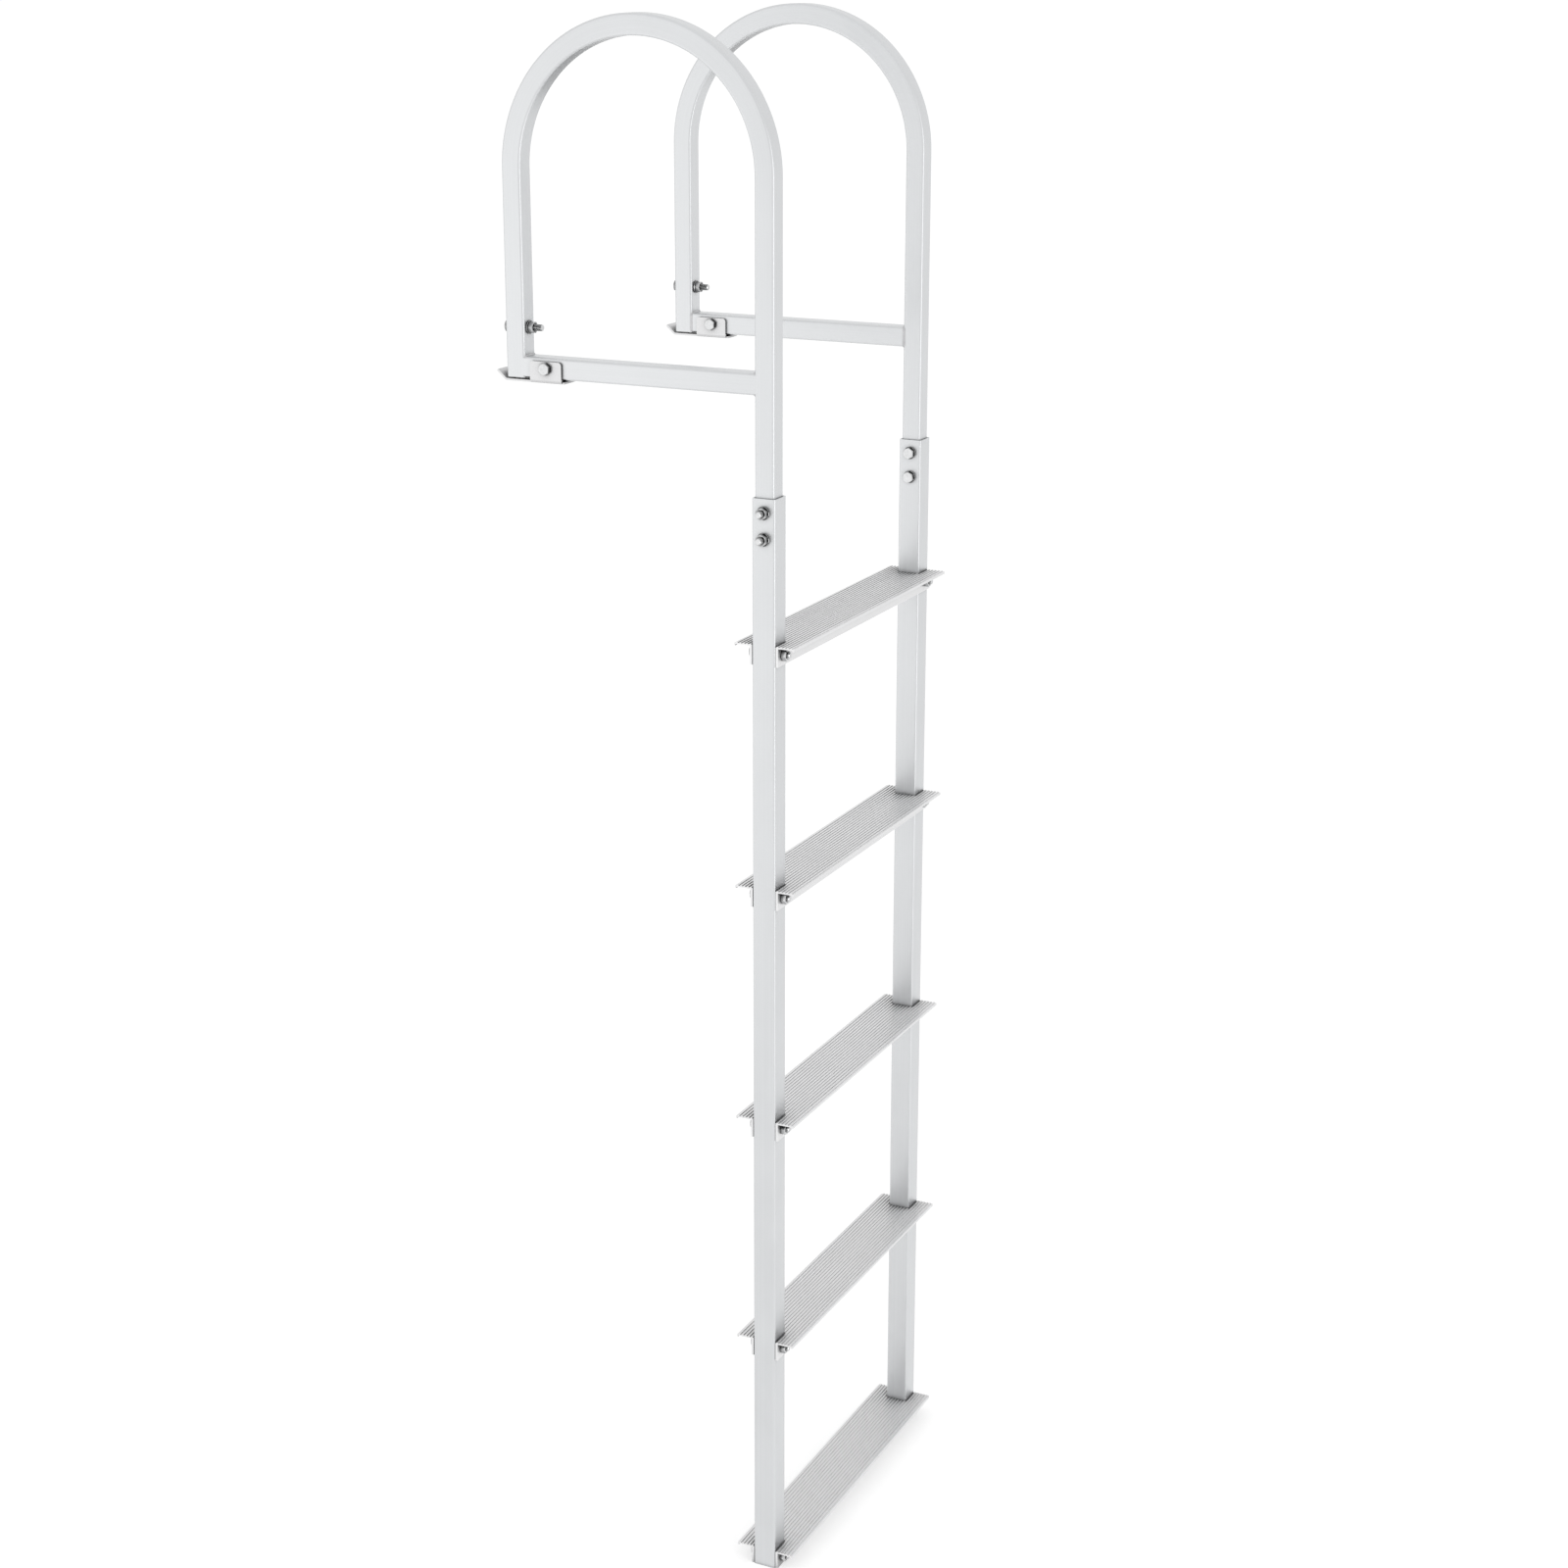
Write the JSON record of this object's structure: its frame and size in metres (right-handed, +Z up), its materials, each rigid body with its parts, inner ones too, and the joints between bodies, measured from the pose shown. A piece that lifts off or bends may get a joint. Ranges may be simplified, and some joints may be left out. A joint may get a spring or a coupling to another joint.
{
  "type": "dock ladder",
  "caption": "Straight aluminium dock ladder with looped square-tube handrails, ribbed treads and saddle brackets that bolt it to the dock.",
  "frame": {"origin": "underside of the left dock bracket, on the flat face that lies on the dock, below its ear bolt", "axes": "+Z up; +Y from the water towards the dock; +X from the left hoop to the right one, seen by someone climbing"},
  "size_m": [0.4832, 0.3908, 1.9315],
  "materials": {
    "satin_aluminium": "satin mill-finish square tube with fine lengthwise drawing lines",
    "tread_aluminium": "extruded tread with fine grip ribs, slightly darker than the tube",
    "stainless_fastener": "bright stainless bolts, nuts and washers",
    "stainless_bracket": "satin stainless sheet, bent"
  },
  "bodies": {
    "root": {"left_handrail_hoop": "satin_aluminium", "left_crossbar": "satin_aluminium", "left_lower_rail": "satin_aluminium", "left_dock_bracket": "stainless_bracket", "left_splice_bolts": "stainless_fastener", "left_splice_nuts": "stainless_fastener", "left_splice_washers": "stainless_fastener", "left_leg_bolt": "stainless_fastener", "left_leg_washer": "stainless_fastener", "left_leg_nut": "stainless_fastener", "left_bracket_bolt": "stainless_fastener", "left_bracket_nut": "stainless_fastener", "right_handrail_hoop": "satin_aluminium", "right_crossbar": "satin_aluminium", "right_lower_rail": "satin_aluminium", "right_dock_bracket": "stainless_bracket", "right_splice_bolts": "stainless_fastener", "right_splice_nuts": "stainless_fastener", "right_splice_washers": "stainless_fastener", "right_leg_bolt": "stainless_fastener", "right_leg_washer": "stainless_fastener", "right_leg_nut": "stainless_fastener", "right_bracket_bolt": "stainless_fastener", "right_bracket_nut": "stainless_fastener", "tread_1": "tread_aluminium", "tread_1_bolts": "stainless_fastener", "tread_1_nuts": "stainless_fastener", "tread_2": "tread_aluminium", "tread_2_bolts": "stainless_fastener", "tread_2_nuts": "stainless_fastener", "tread_3": "tread_aluminium", "tread_3_bolts": "stainless_fastener", "tread_3_nuts": "stainless_fastener", "tread_4": "tread_aluminium", "tread_4_bolts": "stainless_fastener", "tread_4_nuts": "stainless_fastener", "tread_5": "tread_aluminium", "tread_5_bolts": "stainless_fastener", "tread_5_nuts": "stainless_fastener"}
  },
  "joints": []
}
